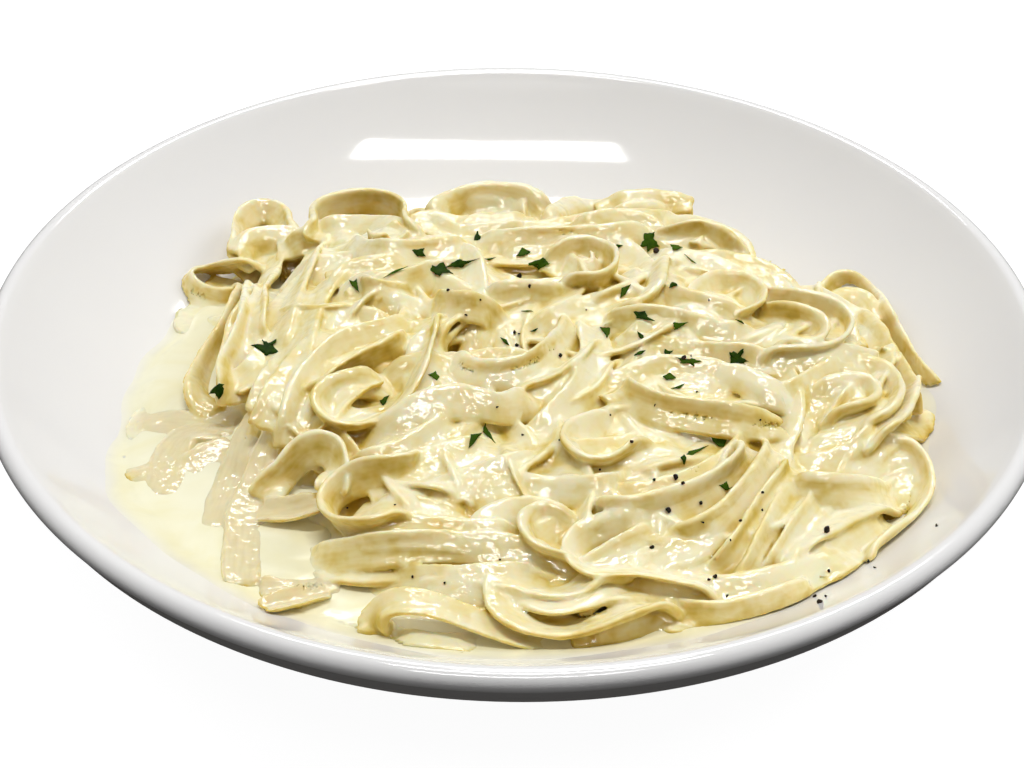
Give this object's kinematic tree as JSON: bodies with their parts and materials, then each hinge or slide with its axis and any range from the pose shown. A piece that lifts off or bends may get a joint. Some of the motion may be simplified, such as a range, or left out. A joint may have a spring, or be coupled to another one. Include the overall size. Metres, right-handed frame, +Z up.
{
  "type": "fettuccine alfredo on a plate",
  "caption": "Heap of flat ribbon noodles in cream sauce with parsley flakes and pepper, served in a wide round white coupe plate on a foot ring.",
  "frame": {"origin": "on the table, at the centre of the plate's foot ring", "axes": "+Z up, -Y towards the diner's side of the plate, +X to the diner's right"},
  "size_m": [0.26, 0.26, 0.0472],
  "materials": {
    "porcelain": "glossy white glaze",
    "cream_sauce": "wet pale cream sauce",
    "noodle": "cooked egg noodle under a film of cream sauce",
    "parsley": "dark green leaf flakes",
    "pepper": "cracked black pepper"
  },
  "bodies": {
    "root": {"plate": "porcelain", "sauce": "cream_sauce", "noodles": "noodle"}
  },
  "joints": []
}
